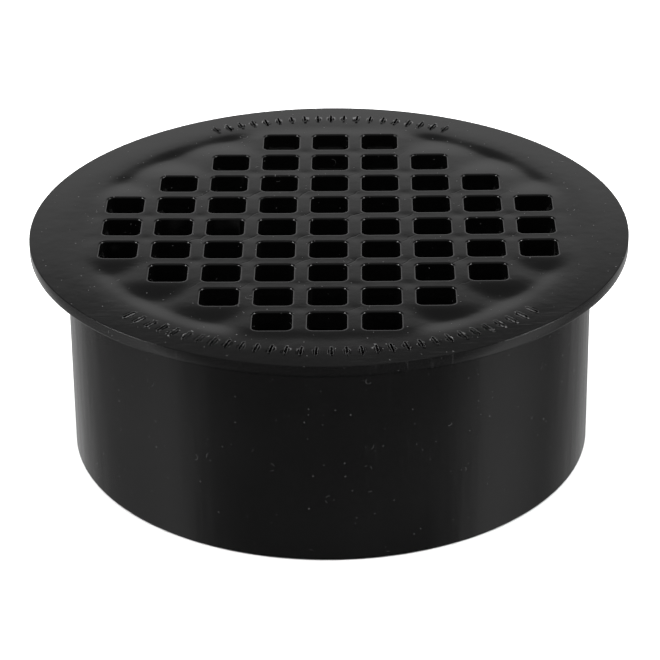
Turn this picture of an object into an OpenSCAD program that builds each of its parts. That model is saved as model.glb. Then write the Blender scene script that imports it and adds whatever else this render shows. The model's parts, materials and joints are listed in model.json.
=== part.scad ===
// Round floor drain grate of moulded ABS: a snap-in strainer on a pipe collar.
// The collar slips inside a 4 inch drain pipe, or over a 3 inch one.
// Z is up, and the origin is at the centre of the collar's bottom ring.

/* [Strainer] */
// Outer diameter of the flange
flange_d = 115.4; // [112:0.1:120]
// Thickness of the flange at its rim
flange_t = 2.2; // [1.6:0.1:3]
// Radius of the rounding on the rim's upper edge
flange_edge_r = 0.15; // [0.1:0.05:0.7]
// Height of the flange's top face above the ground
overall_h = 44.4; // [42:0.1:60]
// Thickness of the plate that the drain holes pass through
grate_t = 5; // [4:0.1:6]
// Depth of the recess under the flange that takes the collar's rim
recess_h = 0.4; // [0.2:0.1:0.8]

/* [Drain holes] */
// Distance between neighbouring holes
hole_pitch = 10; // [9.8:0.05:10.2]
// Width of one square hole
hole_w = 7.2; // [5:0.1:7.4]
// Radius of the corners of a hole
hole_corner_r = 1.25; // [0.5:0.05:2]

/* [Raised marks] */
// Height of the raised ticks above the flange
tick_h = 0.15; // [0.1:0.05:0.4]
// Radial length of one tick
tick_l = 3; // [2:0.1:4]
// Width of one tick
tick_w = 0.6; // [0.5:0.05:1.2]
// Angle between neighbouring ticks
tick_step = 3; // [2.5:0.1:5]

/* [Snap fingers] */
// Number of fingers around the strainer
finger_count = 12; // [8:1:16]
// Gap between neighbouring fingers
finger_gap = 6; // [4:0.5:8]
// Thickness of one finger
finger_t = 1.5; // [1.2:0.1:1.6]
// Length of a finger below the plate
finger_l = 6.2; // [5.8:0.1:6.4]
// How far the bead stands out of a finger
bead_h = 0.4; // [0.2:0.05:0.45]

/* [Collar] */
// Outer diameter of the collar, for the inside of a 4 inch pipe
collar_d = 101.4; // [101:0.1:102]
// Inner diameter of the socket, for the outside of a 3 inch pipe
socket_d = 89.2; // [89:0.1:89.6]
// Depth of the socket, up to the pipe stop
socket_depth = 30; // [25:0.5:30]
// Inner diameter of the pipe stop
stop_d = 84; // [80:0.5:86]
// Inner diameter of the seat that takes the snap fingers
seat_d = 95.2; // [95:0.1:95.6]
// Depth of the snap groove in the seat
groove_depth = 0.6; // [0.3:0.05:0.8]
// Size of the broken edges at the collar's mouths
collar_edge = 0.4; // [0.2:0.1:1.2]

/* [Hidden] */
$fn = 120;
body_color = [0.045, 0.045, 0.05];
inner_color = [0.10, 0.10, 0.11];

flange_r = flange_d / 2;
flange_z = overall_h - flange_t;
plate_z = overall_h - grate_t;

// The holes fill a square grid, with its corners cut off in steps
grid_reach = 4;
grid_diagonal = 5;
hole_cells = [
    for (i = [-grid_reach:grid_reach], j = [-grid_reach:grid_reach])
        if (abs(i) + abs(j) <= grid_diagonal) [i, j]
];

// The ticks stand in two arcs, a long one at the front and a short one at the back
tick_r = (flange_r + collar_d / 2) / 2 - 2.3;
front_ticks = 31;
back_ticks = 19;

// The fingers run in the seat with a clear gap, so that the strainer lifts straight out
seat_r = seat_d / 2;
plate_r = seat_r - 0.7;
finger_z = plate_z - finger_l;
rim_gap = 0.3;
rim_z = flange_z + recess_h;
bead_z = finger_z + 2.6;
bead_flat = 0.6;
finger_lead_in = 0.6;

collar_r = collar_d / 2;
stop_r = stop_d / 2;
socket_r = socket_d / 2;
stop_t = 2.4;
seat_z = socket_depth + stop_t;
groove_w = bead_flat + 2 * groove_depth;

module rounded_square(w, r) {
    square([w, w - 2 * r], center = true);
    square([w - 2 * r, w], center = true);
    for (x = [-1, 1], y = [-1, 1])
        translate([x, y] * (w / 2 - r))
            circle(r, $fn = 32);
}

// A flat disc whose upper edge is rounded
module edged_disc(r, t, edge_r) {
    rotate_extrude() {
        square([r - edge_r, t]);
        square([r, t - edge_r]);
        translate([r - edge_r, t - edge_r])
            intersection() {
                circle(edge_r, $fn = 32);
                square(edge_r);
            }
    }
}

module tick_arc(count, middle_angle) {
    for (k = [0:count - 1])
        rotate([0, 0, middle_angle + (k - (count - 1) / 2) * tick_step])
            translate([tick_r - tick_l / 2, -tick_w / 2, overall_h - flange_edge_r])
                cube([tick_l, tick_w, flange_edge_r + tick_h]);
}

// The recess that sits over the collar's rim
module rim_recess() {
    translate([0, 0, flange_z - 1])
        difference() {
            cylinder(h = 1 + recess_h, r = collar_r + rim_gap);
            translate([0, 0, -1])
                cylinder(h = 3 + recess_h, r = plate_r);
        }
}

module drain_holes() {
    for (cell = hole_cells)
        translate([cell[0] * hole_pitch, cell[1] * hole_pitch, plate_z - 1])
            linear_extrude(grate_t + 2)
                rounded_square(hole_w, hole_corner_r);
}

// The flange and the top of the grate, which carry the raised ticks
module strainer_face() {
    color(body_color)
        difference() {
            union() {
                translate([0, 0, flange_z])
                    edged_disc(flange_r, flange_t, flange_edge_r);
                tick_arc(front_ticks, -89);
                tick_arc(back_ticks, 90);
            }
            rim_recess();
            drain_holes();
        }
}

// The deep part of the grate's bars, below the flange
module grate_bars() {
    color(inner_color)
        difference() {
            translate([0, 0, plate_z])
                cylinder(h = grate_t - flange_t, r = plate_r);
            drain_holes();
        }
}

// A finger's section, with a lead-in at its tip and a bead that clicks into the groove
module finger_section() {
    polygon([
        [plate_r - finger_t, plate_z],
        [plate_r - finger_t, finger_z],
        [plate_r - finger_lead_in, finger_z],
        [plate_r, finger_z + finger_lead_in],
        [plate_r, bead_z - bead_flat / 2 - bead_h],
        [plate_r + bead_h, bead_z - bead_flat / 2],
        [plate_r + bead_h, bead_z + bead_flat / 2],
        [plate_r, bead_z + bead_flat / 2 + bead_h],
        [plate_r, plate_z]
    ]);
}

module snap_fingers() {
    color(inner_color)
        difference() {
            rotate_extrude()
                finger_section();
            for (k = [0:finger_count - 1])
                rotate([0, 0, (k + 0.5) * 360 / finger_count])
                    translate([0, -finger_gap / 2, finger_z - 1])
                        cube([seat_r + 1, finger_gap, finger_l + 2]);
        }
}

// The collar's section: socket, pipe stop, seat and snap groove, with a bevelled rim for the recess
module collar_section() {
    polygon([
        [socket_r + collar_edge, 0],
        [collar_r - collar_edge, 0],
        [collar_r, collar_edge],
        [collar_r, flange_z],
        [collar_r - recess_h, rim_z],
        [seat_r + collar_edge, rim_z],
        [seat_r, rim_z - collar_edge],
        [seat_r, bead_z + groove_w / 2],
        [seat_r + groove_depth, bead_z + bead_flat / 2],
        [seat_r + groove_depth, bead_z - bead_flat / 2],
        [seat_r, bead_z - groove_w / 2],
        [seat_r, seat_z],
        [stop_r, seat_z],
        [stop_r, socket_depth],
        [socket_r, socket_depth],
        [socket_r, collar_edge]
    ]);
}

module pipe_collar() {
    color(body_color)
        rotate_extrude()
            collar_section();
}

pipe_collar();
strainer_face();
grate_bars();
snap_fingers();
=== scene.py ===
"""A round floor drain grate of black ABS: a strainer snapped onto a short pipe collar."""
import json
import math

import bpy
import numpy as np
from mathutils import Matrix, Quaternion, Vector
from mathutils.geometry import delaunay_2d_cdt


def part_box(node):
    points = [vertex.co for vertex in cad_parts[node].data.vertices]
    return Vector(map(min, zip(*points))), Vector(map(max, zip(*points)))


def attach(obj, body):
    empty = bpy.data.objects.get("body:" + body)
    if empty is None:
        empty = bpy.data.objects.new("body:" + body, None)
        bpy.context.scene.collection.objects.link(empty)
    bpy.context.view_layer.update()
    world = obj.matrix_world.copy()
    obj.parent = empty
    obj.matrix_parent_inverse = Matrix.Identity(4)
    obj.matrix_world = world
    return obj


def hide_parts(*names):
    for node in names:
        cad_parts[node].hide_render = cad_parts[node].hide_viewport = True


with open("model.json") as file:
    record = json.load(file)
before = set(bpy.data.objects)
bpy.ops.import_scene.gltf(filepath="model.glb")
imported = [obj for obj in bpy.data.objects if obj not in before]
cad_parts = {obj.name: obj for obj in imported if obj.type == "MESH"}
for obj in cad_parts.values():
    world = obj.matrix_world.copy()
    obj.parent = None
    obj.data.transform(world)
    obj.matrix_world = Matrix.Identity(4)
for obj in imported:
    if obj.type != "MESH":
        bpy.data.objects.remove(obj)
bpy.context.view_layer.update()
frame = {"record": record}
MOUNTS = {mount["name"]: mount for mount in frame["record"]["mounts"]}
MM = 0.001


def box_mm(node):
    low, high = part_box(node)
    return low / MM, high / MM


# ---------------------------------------------------------------- sizes, in millimetres
TICK_H = 0.15
FACE_LO, FACE_HI = box_mm("strainer_face")
FLANGE_R = FACE_HI.x
FLANGE_TOP = FACE_HI.z - TICK_H
FLANGE_BOTTOM = FACE_LO.z
PLATE_BOTTOM = box_mm("grate_bars")[0].z
FINGER_TIP = box_mm("snap_fingers")[0].z
COLLAR_TOP = box_mm("pipe_collar")[1].z
COLLAR_R = MOUNTS["pipe_spigot"]["dims"]["r_mm"]
SOCKET_R = MOUNTS["pipe_socket"]["dims"]["r_mm"]

# Drain holes on a square grid, whose corners are cut off in steps
PITCH = 10.0
HOLE_HALF = 3.6
HOLE_CORNER = 1.25
HOLE_TOP_ROUND = 0.28
HOLE_BOTTOM_ROUND = 0.2
HOLE_MARGIN = 0.22
GRID_REACH = 4
GRID_DIAGONAL = 5
HOLES = [
    (i * PITCH, j * PITCH)
    for i in range(-GRID_REACH, GRID_REACH + 1)
    for j in range(-GRID_REACH, GRID_REACH + 1)
    if abs(i) + abs(j) <= GRID_DIAGONAL
]
# Crossings of the bars: the points with a hole on all four sides
CROSSINGS = [
    (x + PITCH / 2, y + PITCH / 2)
    for x, y in HOLES
    if {(x + PITCH, y), (x, y + PITCH), (x + PITCH, y + PITCH)} <= set(HOLES)
]

# Raised ticks on the flange, in two arcs just outside the collar's wall: (count, middle angle in degrees)
TICK_ARCS = [(31, -89.0), (19, 90.0)]
TICK_STEP = 3.0
TICK_ANGLES = [
    math.radians(middle + (k - (count - 1) / 2) * TICK_STEP)
    for count, middle in TICK_ARCS
    for k in range(count)
]
TICK_R = (FLANGE_R + COLLAR_R) / 2 - 2.3
TICK_HALF_L = 1.5
TICK_HALF_W = 0.3
TICK_CORNER = 0.2
TICK_ROUND = 0.035
TICK_MARGIN = 0.03

# The flange's rim, and the strainer below the flange. HOLD is how far the next ring of points lies
# from a sharp corner, so that smooth shading stays close to the corner
RIM_ROUND = 0.06
RIM_LOWER_ROUND = 0.2
RECESS_R = COLLAR_R + 0.3
SEAT_R = 47.6
PLATE_R = SEAT_R - 0.7
PLATE_LOWER_ROUND = 0.3
HOLD = 0.2
FINGER_COUNT = 12
FINGER_GAP = 6.0
FINGER_T = 1.5
FINGER_FOOT = 0.6
FINGER_OVERLAP = 0.2
BEAD_H = 0.4
BEAD_FLAT = 0.6
BEAD_Z = FINGER_TIP + 2.6
FINGER_ROUND = 0.18

# Inside of the collar
SOCKET_TOP = 30.0
STOP_R = 42.0
STOP_T = 2.4
GROOVE_DEPTH = 0.6
COLLAR_EDGE = 0.4
COLLAR_ROUND = 0.25
SEAT_ROUND = 0.15

# How the top face sank as the moulding cooled: a shallow dish, pockets where no hole relieves the
# plate, a moat round them, dimples at the bars' crossings, and a droop towards the rim. Most of these
# values come from a least-squares fit to the reflections in the photograph
DISH = 0.196
DISH_R = 44.7
POCKET_DEPTH = 0.277
POCKET_REACH = 8.7
POCKET_INNER_R = 45.9
POCKET_OUTER_R = 48.0
MOAT_DEPTH = 0.049
MOAT_R = 48.5
MOAT_W = 1.8
SINK_SOFTNESS = 1.27
DIMPLE_DEPTH = 0.015
DIMPLE_W = 1.15
RIM_DROOP = 0.0042
DROOP_R = 49.0

# Fineness of the meshes, and how near a point may lie to an outline and still count as on it
RIM_SEGMENTS = 288
FINGER_STATIONS = 14
TOP_GRID = PITCH / 18
BOTTOM_GRID = PITCH / 5
TOLERANCE = 1e-4


# ---------------------------------------------------------------- the moulded top face
def smoothstep(low, high, x):
    t = np.clip((x - low) / (high - low), 0, 1)
    return t * t * (3 - 2 * t)


def hole_distance(x, y):
    """Distance from each point to the nearest hole's wall, negative inside a hole."""
    nearest = np.full(np.shape(x), 1e3)
    core = HOLE_HALF - HOLE_CORNER
    for cx, cy in HOLES:
        qx = np.abs(x - cx) - core
        qy = np.abs(y - cy) - core
        outside = np.hypot(np.maximum(qx, 0), np.maximum(qy, 0))
        inside = np.minimum(np.maximum(qx, qy), 0)
        nearest = np.minimum(nearest, outside + inside - HOLE_CORNER)
    return nearest


class SinkMap:
    """How far the moulding's top face has sunk, on a square map of points STEP apart."""

    STEP = 0.25
    HALF = 60.0

    def __init__(self):
        side = np.arange(-self.HALF, self.HALF + self.STEP / 2, self.STEP)
        x, y = np.meshgrid(side, side, indexing="ij")
        r = np.hypot(x, y)
        pocket = smoothstep(0.0, POCKET_REACH, hole_distance(x, y))
        pocket *= 1 - smoothstep(POCKET_INNER_R, POCKET_OUTER_R, r)
        moat = np.exp(-(((r - MOAT_R) / MOAT_W) ** 2))
        local = self.soften(POCKET_DEPTH * pocket + MOAT_DEPTH * moat)
        dish = DISH * np.clip(1 - (r / DISH_R) ** 2, 0, None)
        droop = RIM_DROOP * np.clip(r - DROOP_R, 0, None)
        self.depth = local + dish + droop
        for cx, cy in CROSSINGS:
            off = np.hypot(x - cx, y - cy)
            self.depth += DIMPLE_DEPTH * np.exp(-((off / DIMPLE_W) ** 2))

    def soften(self, field):
        """Blurs a map the way a cooling skin softens what sinks below it."""
        sigma = SINK_SOFTNESS / self.STEP
        reach = int(4 * sigma)
        kernel = np.exp(-0.5 * (np.arange(-reach, reach + 1) / sigma) ** 2)
        kernel /= kernel.sum()
        for axis in (0, 1):
            field = np.apply_along_axis(np.convolve, axis, field, kernel, mode="same")
        return field

    def at(self, x, y):
        """The depth at each point, from the four points of the map around it."""
        u = (np.asarray(x) + self.HALF) / self.STEP
        v = (np.asarray(y) + self.HALF) / self.STEP
        i = np.clip(np.floor(u).astype(int), 0, len(self.depth) - 2)
        j = np.clip(np.floor(v).astype(int), 0, len(self.depth) - 2)
        s, t = u - i, v - j
        d = self.depth
        near = d[i, j] * (1 - t) + d[i, j + 1] * t
        far = d[i + 1, j] * (1 - t) + d[i + 1, j + 1] * t
        return near * (1 - s) + far * s


SINK = SinkMap()


def top_z(xy):
    """The height of the sunken top face at each point."""
    return FLANGE_TOP - SINK.at(xy[:, 0], xy[:, 1])


# ---------------------------------------------------------------- mesh building
class Shell:
    """Gathers the points and faces of closed surfaces, in millimetres."""

    def __init__(self):
        self.points = []
        self.faces = []

    def add(self, xy, z):
        """Adds points at one height, or one height each, and returns their numbers."""
        heights = np.broadcast_to(np.asarray(z, float), (len(xy),))
        first = len(self.points)
        self.points.extend((p[0], p[1], h) for p, h in zip(xy, heights))
        return list(range(first, len(self.points)))

    def bridge(self, rings):
        """Joins each ring to the next with quads. An outer wall that goes down faces out."""
        for a, b in zip(rings, rings[1:]):
            for k in range(len(a)):
                m = (k + 1) % len(a)
                self.faces.append((a[k], b[k], b[m], a[m]))

    def build(self, name, material):
        """Makes the piece, in metres and smooth all over."""
        mesh = bpy.data.meshes.new(name)
        mesh.from_pydata([(x * MM, y * MM, z * MM) for x, y, z in self.points], [], self.faces)
        mesh.validate()
        mesh.polygons.foreach_set("use_smooth", [True] * len(mesh.polygons))
        mesh.materials.append(material)
        piece = bpy.data.objects.new(name, mesh)
        bpy.context.scene.collection.objects.link(piece)
        return piece


def circle(r, segments=RIM_SEGMENTS):
    turn = np.linspace(0, 2 * math.pi, segments, endpoint=False)
    return np.stack([r * np.cos(turn), r * np.sin(turn)], -1)


def rounded_box(half_x, half_y, corner, arc_steps, side_steps):
    """An anticlockwise outline of a rounded rectangle about the origin."""
    centres = [
        (sx * (half_x - corner), sy * (half_y - corner))
        for sx, sy in ((1, -1), (1, 1), (-1, 1), (-1, -1))
    ]
    arcs = []
    for quarter, (cx, cy) in enumerate(centres):
        angles = (quarter - 1 + np.arange(arc_steps + 1) / arc_steps) * math.pi / 2
        arcs.append(np.stack([cx + corner * np.cos(angles), cy + corner * np.sin(angles)], -1))
    outline = []
    for arc, following in zip(arcs, arcs[1:] + arcs[:1]):
        outline.append(arc)
        share = (np.arange(1, side_steps) / side_steps)[:, None]
        outline.append(arc[-1] * (1 - share) + following[0] * share)
    return np.concatenate(outline)


def quarter_round(radius, steps):
    """(outward, down) at each step of a rounding, from the flat face to the wall."""
    angles = [math.pi / 2 * k / steps for k in range(steps + 1)]
    return [(radius * (1 - math.sin(a)), radius * (1 - math.cos(a))) for a in angles]


def fill(shell, loops, holes_at, grid, reach, height, face_up):
    """Fills between closed loops with triangles over a fine grid of points.

    loops is a list of (point numbers, xy), the first of them the outer circle.
    holes_at(x, y, margin) is true where a point lies in, or within margin of, an opening.
    """
    clear_of_rim, clear_of_holes = 0.6 * grid, 0.45 * grid
    count = int(reach / grid)
    side = np.arange(-count, count + 1) * grid
    gx, gy = (a.ravel() for a in np.meshgrid(side, side))
    keep = (np.hypot(gx, gy) < reach - clear_of_rim) & ~holes_at(gx, gy, clear_of_holes)
    inner = np.stack([gx[keep], gy[keep]], -1)
    inner_numbers = shell.add(inner, height(inner))
    numbers, xy, edges = [], [], []
    for loop_numbers, loop_xy in loops:
        first, n = len(numbers), len(loop_numbers)
        numbers.extend(loop_numbers)
        xy.extend(map(tuple, loop_xy))
        edges.extend((first + k, first + (k + 1) % n) for k in range(n))
    numbers.extend(inner_numbers)
    xy.extend(map(tuple, inner))
    points, _, triangles, origins, _, _ = delaunay_2d_cdt(
        [Vector(p) for p in xy], edges, [], 0, 1e-7, True
    )
    if len(points) != len(xy):
        raise ValueError("two outlines meet, so the face can't be filled")
    places = np.array([tuple(p) for p in points])
    triangles = np.array(triangles)
    centres = places[triangles].mean(1)
    triangles = triangles[~holes_at(centres[:, 0], centres[:, 1], 0.0)]
    for a, b, c in triangles:
        one, two, three = (numbers[origins[k][0]] for k in (a, b, c))
        shell.faces.append((one, two, three) if face_up else (one, three, two))


def turned(xy, angle, centre_r):
    """A local outline moved out along X by centre_r and turned about the origin."""
    c, s = math.cos(angle), math.sin(angle)
    x, y = xy[:, 0] + centre_r, xy[:, 1]
    return np.stack([x * c - y * s, x * s + y * c], -1)


def hole_outline(centre, outward):
    half, corner = HOLE_HALF + outward, HOLE_CORNER + outward
    return rounded_box(half, half, corner, arc_steps=6, side_steps=4) + np.array(centre)


def tick_outline(angle, outward):
    half_l, half_w, corner = (v + outward for v in (TICK_HALF_L, TICK_HALF_W, TICK_CORNER))
    return turned(rounded_box(half_l, half_w, corner, arc_steps=3, side_steps=3), angle, TICK_R)


def in_tick(x, y, margin):
    found = np.zeros(np.shape(x), bool)
    for angle in TICK_ANGLES:
        c, s = math.cos(angle), math.sin(angle)
        along, across = x * c + y * s - TICK_R, y * c - x * s
        found |= (np.abs(along) < TICK_HALF_L + margin) & (np.abs(across) < TICK_HALF_W + margin)
    return found


def in_top_opening(x, y, margin):
    in_hole = hole_distance(x, y) < HOLE_TOP_ROUND + HOLE_MARGIN + margin - TOLERANCE
    return in_hole | in_tick(x, y, TICK_MARGIN + margin - TOLERANCE)


def in_bottom_opening(x, y, margin):
    return hole_distance(x, y) < HOLE_BOTTOM_ROUND + HOLE_MARGIN + margin - TOLERANCE


def add_hole(shell, centre):
    """One drain hole's wall, its edges rounded. Returns its loops in the top and bottom faces."""
    rim = hole_outline(centre, HOLE_TOP_ROUND + HOLE_MARGIN)
    top_loop = shell.add(rim, top_z(rim))
    rings = [top_loop]
    for outward, down in quarter_round(HOLE_TOP_ROUND, steps=5):
        outline = hole_outline(centre, outward)
        rings.append(shell.add(outline, top_z(outline) - down))
    wall = hole_outline(centre, 0.0)
    rings.append(shell.add(wall, PLATE_BOTTOM + (FLANGE_TOP - PLATE_BOTTOM) / 2))
    for outward, up in reversed(quarter_round(HOLE_BOTTOM_ROUND, steps=3)):
        rings.append(shell.add(hole_outline(centre, outward), PLATE_BOTTOM + up))
    under = hole_outline(centre, HOLE_BOTTOM_ROUND + HOLE_MARGIN)
    bottom_loop = shell.add(under, PLATE_BOTTOM)
    rings.append(bottom_loop)
    shell.bridge([list(reversed(ring)) for ring in rings])
    return (top_loop, rim), (bottom_loop, under)


def add_tick(shell, angle):
    """One raised tick on the flange. Returns its loop in the top face."""
    foot = tick_outline(angle, TICK_MARGIN)
    foot_loop = shell.add(foot, top_z(foot))
    rings = [foot_loop]
    base = tick_outline(angle, 0.0)
    rings.append(shell.add(base, top_z(base)))
    for outward, down in reversed(quarter_round(TICK_ROUND, steps=3)):
        outline = tick_outline(angle, outward - TICK_ROUND)
        rings.append(shell.add(outline, top_z(outline) + TICK_H - down))
    top = tick_outline(angle, -2 * TICK_ROUND)
    rings.append(shell.add(top, top_z(top) + TICK_H))
    shell.bridge([list(reversed(ring)) for ring in reversed(rings)])
    shell.faces.append(tuple(rings[-1]))
    return foot_loop, foot


def make_strainer(material):
    """The strainer's moulding without its fingers, as one closed surface."""
    shell = Shell()
    top_loops, bottom_loops = [], []
    for centre in HOLES:
        top_loop, bottom_loop = add_hole(shell, centre)
        top_loops.append(top_loop)
        bottom_loops.append(bottom_loop)
    top_loops.extend(add_tick(shell, angle) for angle in TICK_ANGLES)

    top_r = FLANGE_R - RIM_ROUND - HOLE_MARGIN
    outer = circle(top_r)
    outer_loop = shell.add(outer, top_z(outer))
    rings = [outer_loop]
    for inward, down in quarter_round(RIM_ROUND, steps=6):
        ring = circle(FLANGE_R - inward)
        rings.append(shell.add(ring, top_z(ring) - down))
    side = [
        (FLANGE_R, FLANGE_BOTTOM + RIM_LOWER_ROUND),
        (FLANGE_R - 0.3 * RIM_LOWER_ROUND, FLANGE_BOTTOM + 0.3 * RIM_LOWER_ROUND),
        (FLANGE_R - RIM_LOWER_ROUND, FLANGE_BOTTOM),
        (FLANGE_R - RIM_LOWER_ROUND - HOLD, FLANGE_BOTTOM),
        (RECESS_R + HOLD, FLANGE_BOTTOM),
        (RECESS_R, FLANGE_BOTTOM),
        (RECESS_R, COLLAR_TOP),
        (RECESS_R - HOLD, COLLAR_TOP),
        (PLATE_R + HOLD, COLLAR_TOP),
        (PLATE_R, COLLAR_TOP),
        (PLATE_R, COLLAR_TOP - HOLD),
        (PLATE_R, PLATE_BOTTOM + PLATE_LOWER_ROUND),
        (PLATE_R - PLATE_LOWER_ROUND / 3, PLATE_BOTTOM + PLATE_LOWER_ROUND / 3),
        (PLATE_R - PLATE_LOWER_ROUND, PLATE_BOTTOM),
    ]
    rings.extend(shell.add(circle(r), z) for r, z in side)
    under_r = PLATE_R - PLATE_LOWER_ROUND - HOLD
    under = circle(under_r)
    under_loop = shell.add(under, PLATE_BOTTOM)
    rings.append(under_loop)
    shell.bridge(rings)

    fill(shell, [(outer_loop, outer)] + top_loops, in_top_opening, TOP_GRID, top_r, top_z, True)
    fill(
        shell,
        [(under_loop, under)] + bottom_loops,
        in_bottom_opening,
        BOTTOM_GRID,
        under_r,
        lambda xy: PLATE_BOTTOM,
        False,
    )
    return shell.build("strainer_moulding", material)


# ---------------------------------------------------------------- turned and swept sections
def rounded_section(corners, steps=4):
    """A closed section with each corner (r, z, radius) rounded by a curve."""
    longest_share = 0.45
    rounded = []
    for k, (r, z, radius) in enumerate(corners):
        here = np.array([r, z])
        before = np.array(corners[k - 1][:2]) - here
        after = np.array(corners[(k + 1) % len(corners)][:2]) - here
        if radius == 0:
            rounded.append(here)
            continue
        before_l, after_l = np.linalg.norm(before), np.linalg.norm(after)
        reach = min(radius, before_l * longest_share, after_l * longest_share)
        start = here + before / before_l * reach
        end = here + after / after_l * reach
        for step in range(steps + 1):
            t = step / steps
            rounded.append(start * (1 - t) ** 2 + here * 2 * t * (1 - t) + end * t**2)
    return np.array(rounded)


def make_collar(material):
    """The collar: socket, pipe stop, seat and snap groove, turned in one closed section."""
    soft, crisp = COLLAR_ROUND, SEAT_ROUND
    seat_z = SOCKET_TOP + STOP_T
    groove_reach = BEAD_FLAT / 2 + GROOVE_DEPTH
    section = rounded_section([
        (SOCKET_R, COLLAR_EDGE, soft),
        (SOCKET_R + COLLAR_EDGE, 0.0, soft),
        (COLLAR_R - COLLAR_EDGE, 0.0, soft),
        (COLLAR_R, COLLAR_EDGE, soft),
        (COLLAR_R, FLANGE_BOTTOM, crisp),
        (COLLAR_R - COLLAR_TOP + FLANGE_BOTTOM, COLLAR_TOP, crisp),
        (SEAT_R + COLLAR_EDGE, COLLAR_TOP, crisp),
        (SEAT_R, COLLAR_TOP - COLLAR_EDGE, crisp),
        (SEAT_R, BEAD_Z + groove_reach, crisp),
        (SEAT_R + GROOVE_DEPTH, BEAD_Z + BEAD_FLAT / 2, crisp),
        (SEAT_R + GROOVE_DEPTH, BEAD_Z - BEAD_FLAT / 2, crisp),
        (SEAT_R, BEAD_Z - groove_reach, crisp),
        (SEAT_R, seat_z, crisp),
        (STOP_R, seat_z, soft),
        (STOP_R, SOCKET_TOP, soft),
        (SOCKET_R, SOCKET_TOP, soft),
    ])
    shell = Shell()
    rings = [shell.add(circle(r), z) for r, z in reversed(section)]
    shell.bridge(rings + rings[:1])
    return shell.build("pipe_collar_moulding", material)


def finger_section(inset):
    """A finger's section, with a lead-in at its tip and a bead, drawn in by inset all round."""
    inner = PLATE_R - FINGER_T + inset
    outer = PLATE_R - inset
    bead = outer + BEAD_H
    tip = FINGER_TIP + inset
    root = PLATE_BOTTOM + FINGER_OVERLAP
    return rounded_section([
        (inner - FINGER_FOOT, root, 0),
        (inner - FINGER_FOOT, PLATE_BOTTOM, 0),
        (inner, PLATE_BOTTOM - FINGER_FOOT, FINGER_FOOT),
        (inner, tip, FINGER_ROUND),
        (outer - FINGER_FOOT, tip, FINGER_ROUND),
        (outer, tip + FINGER_FOOT, FINGER_ROUND),
        (outer, BEAD_Z - BEAD_FLAT / 2 - BEAD_H, FINGER_ROUND),
        (bead, BEAD_Z - BEAD_FLAT / 2, FINGER_ROUND),
        (bead, BEAD_Z + BEAD_FLAT / 2, FINGER_ROUND),
        (outer, BEAD_Z + BEAD_FLAT / 2 + BEAD_H, FINGER_ROUND),
        (outer, root, 0),
    ])


def make_fingers(material):
    """The snap fingers: each a curved strip with a bead, its edges rounded."""
    shell = Shell()
    half_gap = math.asin(FINGER_GAP / 2 / PLATE_R)
    half_span = math.pi / FINGER_COUNT - half_gap
    edge = FINGER_ROUND / PLATE_R
    between = np.linspace(-half_span + edge, half_span - edge, FINGER_STATIONS)
    stations = [(-half_span, FINGER_ROUND), (-half_span + 0.3 * edge, 0.3 * FINGER_ROUND)]
    stations += [(angle, 0.0) for angle in between]
    stations += [(-angle, inset) for angle, inset in reversed(stations[:2])]
    for k in range(FINGER_COUNT):
        middle = 2 * math.pi * k / FINGER_COUNT
        rings = []
        for angle, inset in stations:
            section = finger_section(inset)
            turn = middle + angle
            xy = np.stack([section[:, 0] * math.cos(turn), section[:, 0] * math.sin(turn)], -1)
            rings.append(shell.add(xy, section[:, 1]))
        shell.bridge(rings)
        shell.faces.append(tuple(rings[0]))
        shell.faces.append(tuple(reversed(rings[-1])))
    return shell.build("snap_fingers_moulding", material)


# ---------------------------------------------------------------- materials
# Where most of a noise texture's values lie
NOISE = (0.3, 0.7)


class Tree:
    """A short way to write a node tree."""

    def __init__(self, owner):
        owner.use_nodes = True
        self.tree = owner.node_tree
        self.tree.nodes.clear()

    def node(self, kind, inputs=(), **settings):
        """A node with its settings, and its inputs given as (socket, value or output) pairs."""
        made = self.tree.nodes.new(kind)
        for key, value in settings.items():
            setattr(made, key, value)
        for key, value in inputs:
            if isinstance(value, bpy.types.NodeSocket):
                self.tree.links.new(value, made.inputs[key])
            else:
                made.inputs[key].default_value = value
        return made

    def math(self, operation, *values, clamp=False):
        inputs = list(enumerate(values))
        return self.node("ShaderNodeMath", inputs, operation=operation, use_clamp=clamp).outputs[0]

    def remap(self, value, from_min, from_max, to_min=0.0, to_max=1.0, smooth=False):
        inputs = list(enumerate((value, from_min, from_max, to_min, to_max)))
        kind = "SMOOTHSTEP" if smooth else "LINEAR"
        return self.node("ShaderNodeMapRange", inputs, interpolation_type=kind).outputs[0]

    def noise(self, place, scale, detail=2.0, roughness=0.5):
        inputs = [("Vector", place), ("Scale", scale), ("Detail", detail), ("Roughness", roughness)]
        return self.node("ShaderNodeTexNoise", inputs).outputs[0]

    def mapped(self, place, scale=(1, 1, 1), turn=(0, 0, 0)):
        inputs = [("Vector", place), ("Scale", scale), ("Rotation", turn)]
        return self.node("ShaderNodeMapping", inputs).outputs[0]

    def blend(self, factor, a, b):
        inputs = [(0, factor), (2, a), (3, b)]
        return self.node("ShaderNodeMix", inputs, data_type="FLOAT").outputs[0]

    def grey_ramp(self, factor, stops):
        """A ramp through (position, grey) stops."""
        made = self.node("ShaderNodeValToRGB", [(0, factor)])
        elements = made.color_ramp.elements
        for _ in stops[2:]:
            elements.new(0.5)
        for element, (position, grey) in zip(elements, stops):
            element.position = position
            element.color = (grey, grey, grey, 1)
        return made.outputs[0]


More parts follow.
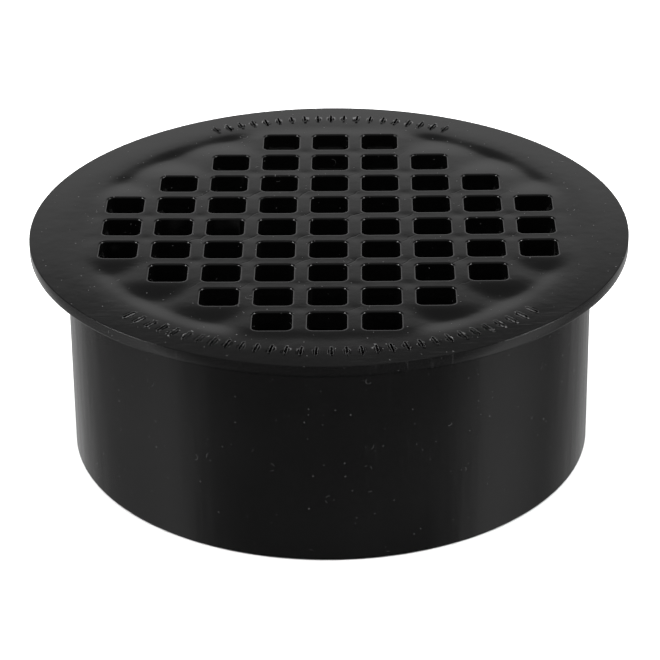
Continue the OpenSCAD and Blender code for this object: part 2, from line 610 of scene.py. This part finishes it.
def specks(tree, place, cell, size, share):
    """Round specks of many strengths up to 1, and 0 outside them. A share of the cells hold one."""
    voronoi = tree.node("ShaderNodeTexVoronoi", [("Vector", place), ("Scale", 1 / cell)])
    chance = tree.node("ShaderNodeSeparateColor", [(0, voronoi.outputs["Color"])]).outputs
    chosen = tree.math("LESS_THAN", chance[0], share)
    reach = tree.remap(chance[1], 0, 1, 0.4 * size / cell, size / cell)
    inside = tree.math("LESS_THAN", voronoi.outputs["Distance"], reach)
    mostly_faint = tree.math("POWER", chance[2], 1.8)
    return tree.math("MULTIPLY", tree.math("MULTIPLY", chosen, inside), mostly_faint)


def fibres(tree, place, cell, width, share):
    """Faint curved lint fibres: parts of thin rings, each in a cell of its own."""
    ring_r = 0.22 * cell
    faintness = 0.4
    voronoi = tree.node("ShaderNodeTexVoronoi", [("Vector", place), ("Scale", 1 / cell)])
    chance = tree.node("ShaderNodeSeparateColor", [(0, voronoi.outputs["Color"])]).outputs
    chosen = tree.math("LESS_THAN", chance[0], share)
    off_ring = tree.math("SUBTRACT", voronoi.outputs["Distance"], ring_r / cell)
    on_ring = tree.math("LESS_THAN", tree.math("ABSOLUTE", off_ring), width / 2 / cell)
    part = tree.remap(tree.noise(place, 4.0 / cell, 0.0), 0.57, 0.65, 0.0, faintness)
    return tree.math("MULTIPLY", tree.math("MULTIPLY", chosen, on_ring), part)


def scratches(tree, place, turn, length, width, share):
    """Fine straight scratches along one direction, in patches: 1 in one, fading to 0."""
    stretched = tree.mapped(place, (1 / length, 1 / width, 1 / length), (0, 0, turn))
    lines = tree.noise(stretched, 1.0, 1.0)
    patches = tree.noise(place, 45.0, 1.0)
    fine = tree.remap(lines, 1 - share, 1 - share + 0.06)
    return tree.math("MULTIPLY", fine, tree.remap(patches, 0.5, 0.62))


def weld_lines(tree, place):
    """Faint wandering diagonals at the bars' crossings, where the melt met: 1 on a line."""
    x, y, z = tree.node("ShaderNodeSeparateXYZ", [(0, place)]).outputs
    pitch = PITCH * MM
    across, along = (
        tree.math("SUBTRACT", tree.math("WRAP", axis, pitch, 0.0), pitch / 2) for axis in (x, y)
    )
    wander = tree.remap(tree.noise(place, 260.0, 2.0), *NOISE, -0.9 * MM, 0.9 * MM)
    off_line = tree.math("SUBTRACT", tree.math("SUBTRACT", along, across), wander)
    off_line = tree.math("ABSOLUTE", off_line)
    line = tree.remap(off_line, 0.0, 0.35 * MM, 1.0, 0.0, smooth=True)
    near = tree.math("MAXIMUM", tree.math("ABSOLUTE", across), tree.math("ABSOLUTE", along))
    near = tree.remap(near, 1.2 * MM, 2.2 * MM, 1.0, 0.0, smooth=True)
    from_axis = tree.node("ShaderNodeVectorMath", [(0, place)], operation="LENGTH").outputs["Value"]
    in_grate = tree.remap(from_axis, 50 * MM, 60 * MM, 1.0, 0.0)
    on_top = tree.math("GREATER_THAN", z, (FLANGE_TOP - 1.0) * MM)
    in_patches = tree.remap(tree.noise(place, 75.0, 0.0), 0.42, 0.58)
    for mask in (near, in_grate, on_top, in_patches):
        line = tree.math("MULTIPLY", line, mask)
    return line


def black_abs(name, shade, roughness, specular, wear, moulded_grate=False):
    """Black moulded ABS: soft orange peel, patchy gloss, hairline scratches, dust and lint.

    The grate has weld lines at its crossings, and the collar has faint upright draw marks.
    """
    material = bpy.data.materials.new(name)
    tree = Tree(material)
    place = tree.node("ShaderNodeTexCoord").outputs["Object"]

    dust = tree.math(
        "MAXIMUM",
        specks(tree, place, cell=1.4 * MM, size=0.15 * MM, share=0.7),
        fibres(tree, place, cell=3.6 * MM, width=0.1 * MM, share=0.12),
    )
    hairlines = tree.math(
        "MAXIMUM",
        scratches(tree, place, turn=0.5, length=9 * MM, width=0.16 * MM, share=0.33),
        scratches(tree, place, turn=-0.9, length=7 * MM, width=0.14 * MM, share=0.31),
    )
    hairlines = tree.math("MULTIPLY", hairlines, wear)
    cloudy = tree.noise(place, 38.0, 3.0, 0.55)
    grain = tree.noise(place, 2600.0, 2.0, 0.6)
    peel = tree.noise(place, 260.0, 2.0, 0.5)

    hairline_shade, dust_shade = 0.008, 0.075
    shade = tree.remap(cloudy, *NOISE, 0.8 * shade, 1.2 * shade)
    shade = tree.blend(hairlines, shade, hairline_shade)
    shade = tree.blend(dust, shade, dust_shade)
    colour = tree.node("ShaderNodeCombineColor", [(0, shade), (1, shade), (2, shade)]).outputs[0]

    # How matt each point is: the shader's roughness
    dust_matt = 0.8
    matt = tree.remap(cloudy, *NOISE, roughness - 0.015, roughness + 0.02)
    matt = tree.math("ADD", matt, tree.remap(grain, *NOISE, -0.012, 0.012))
    matt = tree.math("ADD", matt, tree.math("MULTIPLY", hairlines, 0.12))
    matt = tree.blend(dust, matt, dust_matt)

    # Bumps, in millimetres
    height = tree.math("MULTIPLY", peel, 0.012)
    height = tree.math("ADD", height, tree.math("MULTIPLY", grain, 0.002))
    height = tree.math("SUBTRACT", height, tree.math("MULTIPLY", hairlines, 0.0006))
    height = tree.math("ADD", height, tree.math("MULTIPLY", dust, 0.03))
    if moulded_grate:
        welds = weld_lines(tree, place)
        height = tree.math("SUBTRACT", height, tree.math("MULTIPLY", welds, 0.013))
        matt = tree.math("ADD", matt, tree.math("MULTIPLY", welds, 0.14))
    else:
        draw_marks = tree.noise(tree.mapped(place, (1, 1, 0.12)), 260.0, 2.0, 0.5)
        height = tree.math("ADD", height, tree.math("MULTIPLY", draw_marks, 0.1))
    bump = tree.node("ShaderNodeBump", [("Height", height), ("Distance", MM), ("Strength", 1.0)])

    shader = tree.node(
        "ShaderNodeBsdfPrincipled",
        [
            ("Base Color", colour),
            ("Roughness", matt),
            ("Specular IOR Level", specular),
            ("Normal", bump.outputs[0]),
        ],
    )
    tree.node("ShaderNodeOutputMaterial", [("Surface", shader.outputs[0])])
    return material


GRATE_PLASTIC = black_abs(
    "black_abs_grate", shade=0.0016, roughness=0.07, specular=0.5, wear=1.0, moulded_grate=True
)
COLLAR_PLASTIC = black_abs(
    "black_abs_collar", shade=0.0033, roughness=0.17, specular=0.3, wear=0.4
)

# ---------------------------------------------------------------- the object
strainer = make_strainer(GRATE_PLASTIC)
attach(strainer, "strainer")
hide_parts("strainer_face", "grate_bars")

fingers = make_fingers(GRATE_PLASTIC)
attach(fingers, "strainer")
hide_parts("snap_fingers")

collar = make_collar(COLLAR_PLASTIC)
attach(collar, "collar")
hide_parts("pipe_collar")


# ---------------------------------------------------------------- the studio
# How bright the studio is at each elevation above the horizon, in degrees: pale walls that end at
# 26 degrees, under a dark ceiling with a soft light straight overhead. The values near the walls' top
# edge began as the result of the same fit, and were then rescaled and changed
SKY = [
    (0, 0.85), (8, 0.8), (15, 0.62), (20, 0.58), (23, 0.54), (24.2, 0.5), (25, 0.41), (26, 0.33),
    (27, 0.18), (28, 0.11), (30, 0.07), (50, 0.05), (68, 0.05), (78, 0.3), (90, 0.7),
]
# How bright the walls are below the horizon, by the direction in degrees: 0 is the front, where the
# camera is, and right is positive. They were worked out from how bright the collar is in the
# photograph in each direction, and then changed
LOW_WALLS = [
    (-180, 0.24), (-160, 0.54), (-140, 0.42), (-127, 0.31), (-110, 0.29), (-95, 0.41), (-83, 0.54),
    (-73, 0.66), (-61, 0.38), (-50, 0.2), (-35, 0.14), (0, 0.12), (35, 0.16), (50, 0.2), (61, 0.41),
    (71, 0.74), (83, 0.68), (95, 0.47), (110, 0.22), (127, 0.27), (140, 0.36), (160, 0.42), (180, 0.24),
]


def elevation_stop(degrees):
    """Where an elevation lies on a ramp from straight down to straight up."""
    return (math.sin(math.radians(degrees)) + 1) / 2


def make_studio():
    """The studio's walls, ceiling and soft light, as a world that the plastic mirrors."""
    world = bpy.data.worlds.new("studio")
    bpy.context.scene.world = world
    tree = Tree(world)
    direction = tree.node("ShaderNodeTexCoord").outputs["Generated"]
    x, y, z = tree.node("ShaderNodeSeparateXYZ", [(0, direction)]).outputs
    height = tree.remap(z, -1, 1)
    sky = tree.grey_ramp(height, [(elevation_stop(angle), grey) for angle, grey in SKY])
    around = tree.math("ARCTAN2", x, tree.math("MULTIPLY", y, -1.0))
    around = tree.remap(around, -math.pi, math.pi)
    low = tree.grey_ramp(around, [(angle / 360 + 0.5, grey) for angle, grey in LOW_WALLS])
    not_straight_down = tree.remap(z, -0.9, -0.65, smooth=True)
    low = tree.math("MULTIPLY", low, not_straight_down)
    dark_front = tree.remap(y, -0.8, -0.5, 0.2, 1.0, smooth=True)
    sky = tree.math("MULTIPLY", sky, dark_front)
    above = tree.remap(z, -0.05, 0.02, smooth=True)
    light = tree.blend(above, low, sky)
    background = tree.node("ShaderNodeBackground", [("Color", light), ("Strength", 1.0)])
    tree.node("ShaderNodeOutputWorld", [("Surface", background.outputs[0])])


def floor_material(name, grey):
    material = bpy.data.materials.new(name)
    tree = Tree(material)
    shader = tree.node(
        "ShaderNodeBsdfPrincipled",
        [("Base Color", (grey, grey, grey, 1)), ("Roughness", 0.9), ("Specular IOR Level", 0.1)],
    )
    tree.node("ShaderNodeOutputMaterial", [("Surface", shader.outputs[0])])
    return material


def make_floor_part(name, outline, z, grey, mirrored):
    """A flat part of the floor. The plastic mirrors it only if mirrored is true."""
    mesh = bpy.data.meshes.new(name)
    mesh.from_pydata([(x, y, z) for x, y in outline], [], [tuple(range(len(outline)))])
    mesh.materials.append(floor_material(name, grey))
    part = bpy.data.objects.new(name, mesh)
    part.visible_glossy = mirrored
    bpy.context.scene.collection.objects.link(part)


def make_floor():
    """A pale floor that isn't mirrored, with a greyer part of it, inside the collar, that is. That part's
    grey is painted shade, darker than the rest of the floor.
    """
    half = 6.0
    square = [(-half, -half), (half, -half), (half, half), (-half, half)]
    make_floor_part("floor", square, 0, 0.9, False)
    # Painted shade: the floor inside the collar is grey 0.3, not 0.9, so the holes show a dark floor
    make_floor_part("floor_in_collar", circle((SOCKET_R - 0.2) * MM, 64), 0.02 * MM, 0.3, True)


def make_softbox(name, place, size, energy, mirrored):
    """A square area light that faces the object. The plastic mirrors it only if mirrored is true."""
    lamp = bpy.data.lights.new(name, "AREA")
    lamp.size = size
    lamp.energy = energy
    light = bpy.data.objects.new(name, lamp)
    light.location = place
    light.rotation_euler = Vector(place).to_track_quat("Z", "Y").to_euler()
    light.visible_glossy = mirrored
    bpy.context.scene.collection.objects.link(light)


def make_softboxes():
    """One wide light overhead whitens the floor, and one on each side glints in the hole corners."""
    make_softbox("floor_light", (0, 0, 2.0), 3.0, 130.0, False)
    make_softbox("left_softbox", (-0.9, -0.02, 0.72), 0.42, 8.0, True)
    make_softbox("right_softbox", (0.9, -0.02, 0.72), 0.42, 8.0, True)


def make_camera():
    """The photograph's viewpoint: a long lens, a little right of the front and 25 degrees up."""
    distance = 0.5736
    azimuth, elevation = math.radians(0.74), math.radians(25.44)
    target = Vector((0, 0, FLANGE_TOP * MM))
    toward = Vector((
        math.sin(azimuth) * math.cos(elevation),
        -math.cos(azimuth) * math.cos(elevation),
        math.sin(elevation),
    ))
    lens = bpy.data.cameras.new("camera")
    lens.sensor_width = 36.0
    lens.lens = 161.95
    lens.clip_start = 0.01
    camera = bpy.data.objects.new("camera", lens)
    camera.location = target + toward * distance
    pitch = Quaternion((1, 0, 0), math.radians(-2.011))
    roll = Quaternion((0, 0, 1), math.radians(-0.62))
    camera.rotation_mode = "QUATERNION"
    camera.rotation_quaternion = (-toward).to_track_quat("-Z", "Y") @ pitch @ roll
    bpy.context.scene.collection.objects.link(camera)
    bpy.context.scene.camera = camera


make_studio()
make_floor()
make_softboxes()
make_camera()
bpy.context.scene.view_settings.view_transform = "Standard"
